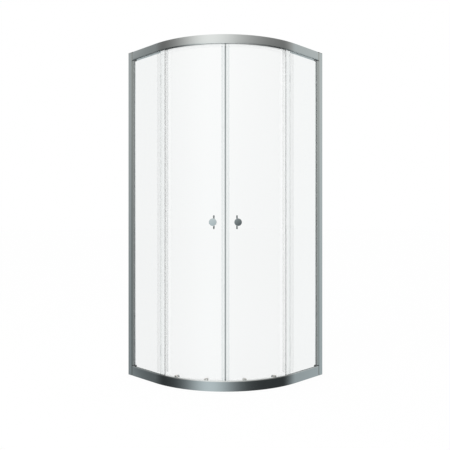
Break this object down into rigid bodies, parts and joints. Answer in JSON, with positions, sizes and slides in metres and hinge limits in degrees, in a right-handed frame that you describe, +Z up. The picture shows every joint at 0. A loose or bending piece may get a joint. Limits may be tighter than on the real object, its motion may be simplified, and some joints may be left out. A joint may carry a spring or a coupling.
{
  "type": "quadrant shower screen",
  "caption": "Quadrant corner shower screen: curved framed enclosure with fixed glass sides and curved sliding doors on rollers with knob handles.",
  "frame": {"origin": "middle of the square footprint, at the level of the tray that the screen stands on", "axes": "+Z up; the two room walls are the planes at +Y and at -X, and the curved front faces +X -Y"},
  "size_m": [0.79, 0.79, 1.85],
  "materials": {
    "polished_aluminium": "bright polished silver extrusion with faint draw lines",
    "clear_glass": "clear toughened float glass with green cut edges",
    "clear_seal": "clear extruded seal",
    "magnet": "dark flexible magnet strip",
    "black_plastic": "fine-grained moulded plastic",
    "grey_rubber": "matt extruded rubber",
    "chrome": "bright chrome plating",
    "steel": "turned stainless steel",
    "roller_plastic": "warm grey turned acetal"
  },
  "bodies": {
    "frame": {"bottom_infill_strip": "polished_aluminium", "bottom_rail": "polished_aluminium", "corner_screws": "steel", "door_stops": "grey_rubber", "fixing_screw_caps": "chrome", "fixing_screws": "steel", "left_corner_blocks": "black_plastic", "left_fixed_edge_seal": "clear_seal", "left_fixed_glass": "clear_glass", "left_jamb_gasket": "grey_rubber", "left_rail_gaskets": "grey_rubber", "left_side_jamb": "polished_aluminium", "left_wall_profile": "polished_aluminium", "right_corner_blocks": "black_plastic", "right_fixed_edge_seal": "clear_seal", "right_fixed_glass": "clear_glass", "right_jamb_gasket": "grey_rubber", "right_rail_gaskets": "grey_rubber", "right_side_jamb": "polished_aluminium", "right_wall_profile": "polished_aluminium", "top_infill_strip": "polished_aluminium", "top_rail": "polished_aluminium", "wall_profile_caps": "black_plastic"},
    "right_door": {"right_door_glass": "clear_glass", "right_handle_bolt": "steel", "right_handle_washers": "clear_seal", "right_inner_handle": "chrome", "right_magnet_seal": "clear_seal", "right_magnet_strip": "magnet", "right_outer_knob": "chrome", "right_roller_axles": "chrome", "right_roller_bearings": "steel", "right_roller_bushes": "clear_seal", "right_roller_cap_nuts": "chrome", "right_roller_collars": "chrome", "right_trailing_seal": "clear_seal"},
    "left_door": {"left_door_glass": "clear_glass", "left_handle_bolt": "steel", "left_handle_washers": "clear_seal", "left_inner_handle": "chrome", "left_magnet_seal": "clear_seal", "left_magnet_strip": "magnet", "left_outer_knob": "chrome", "left_roller_axles": "chrome", "left_roller_bearings": "steel", "left_roller_bushes": "clear_seal", "left_roller_cap_nuts": "chrome", "left_roller_collars": "chrome", "left_trailing_seal": "clear_seal"},
    "left_bottom_lead_wheel": {"left_bottom_lead_wheel": "roller_plastic"},
    "left_bottom_trail_wheel": {"left_bottom_trail_wheel": "roller_plastic"},
    "left_top_lead_wheel": {"left_top_lead_wheel": "roller_plastic"},
    "left_top_trail_wheel": {"left_top_trail_wheel": "roller_plastic"},
    "right_bottom_lead_wheel": {"right_bottom_lead_wheel": "roller_plastic"},
    "right_bottom_trail_wheel": {"right_bottom_trail_wheel": "roller_plastic"},
    "right_top_lead_wheel": {"right_top_lead_wheel": "roller_plastic"},
    "right_top_trail_wheel": {"right_top_trail_wheel": "roller_plastic"}
  },
  "joints": [
    {"name": "right_door_slide", "type": "hinge", "parent": "frame", "child": "right_door", "pos_m": [-0.145, 0.145, 0.925], "axis": [0, 0, 1], "range_deg": [0, 23]},
    {"name": "left_door_slide", "type": "hinge", "parent": "frame", "child": "left_door", "pos_m": [-0.145, 0.145, 0.925], "axis": [0, 0, -1], "range_deg": [0, 23]},
    {"name": "right_bottom_lead_wheel_spin", "type": "hinge", "parent": "right_door", "child": "right_bottom_lead_wheel", "pos_m": [0.28785, -0.14586, 0.0513], "axis": [0.83, -0.5577, 0], "continuous": true},
    {"name": "right_bottom_trail_wheel_spin", "type": "hinge", "parent": "right_door", "child": "right_bottom_trail_wheel", "pos_m": [0.3592, 0.01179, 0.0513], "axis": [0.9668, -0.2554, 0], "continuous": true},
    {"name": "right_top_lead_wheel_spin", "type": "hinge", "parent": "right_door", "child": "right_top_lead_wheel", "pos_m": [0.28785, -0.14586, 1.8193], "axis": [0.83, -0.5577, 0], "continuous": true},
    {"name": "right_top_trail_wheel_spin", "type": "hinge", "parent": "right_door", "child": "right_top_trail_wheel", "pos_m": [0.3592, 0.01179, 1.8193], "axis": [0.9668, -0.2554, 0], "continuous": true},
    {"name": "left_bottom_lead_wheel_spin", "type": "hinge", "parent": "left_door", "child": "left_bottom_lead_wheel", "pos_m": [0.14586, -0.28785, 0.0513], "axis": [0.5577, -0.83, 0], "continuous": true},
    {"name": "left_bottom_trail_wheel_spin", "type": "hinge", "parent": "left_door", "child": "left_bottom_trail_wheel", "pos_m": [-0.01179, -0.3592, 0.0513], "axis": [0.2554, -0.9668, 0], "continuous": true},
    {"name": "left_top_lead_wheel_spin", "type": "hinge", "parent": "left_door", "child": "left_top_lead_wheel", "pos_m": [0.14586, -0.28785, 1.8193], "axis": [0.5577, -0.83, 0], "continuous": true},
    {"name": "left_top_trail_wheel_spin", "type": "hinge", "parent": "left_door", "child": "left_top_trail_wheel", "pos_m": [-0.01179, -0.3592, 1.8193], "axis": [0.2554, -0.9668, 0], "continuous": true}
  ],
  "couplings": [
    {"joint": "right_bottom_lead_wheel_spin", "follows": "right_door_slide", "ratio": -43.458},
    {"joint": "right_bottom_trail_wheel_spin", "follows": "right_door_slide", "ratio": -43.458},
    {"joint": "right_top_lead_wheel_spin", "follows": "right_door_slide", "ratio": -43.458},
    {"joint": "right_top_trail_wheel_spin", "follows": "right_door_slide", "ratio": -43.458},
    {"joint": "left_bottom_lead_wheel_spin", "follows": "left_door_slide", "ratio": 43.458},
    {"joint": "left_bottom_trail_wheel_spin", "follows": "left_door_slide", "ratio": 43.458},
    {"joint": "left_top_lead_wheel_spin", "follows": "left_door_slide", "ratio": 43.458},
    {"joint": "left_top_trail_wheel_spin", "follows": "left_door_slide", "ratio": 43.458}
  ]
}
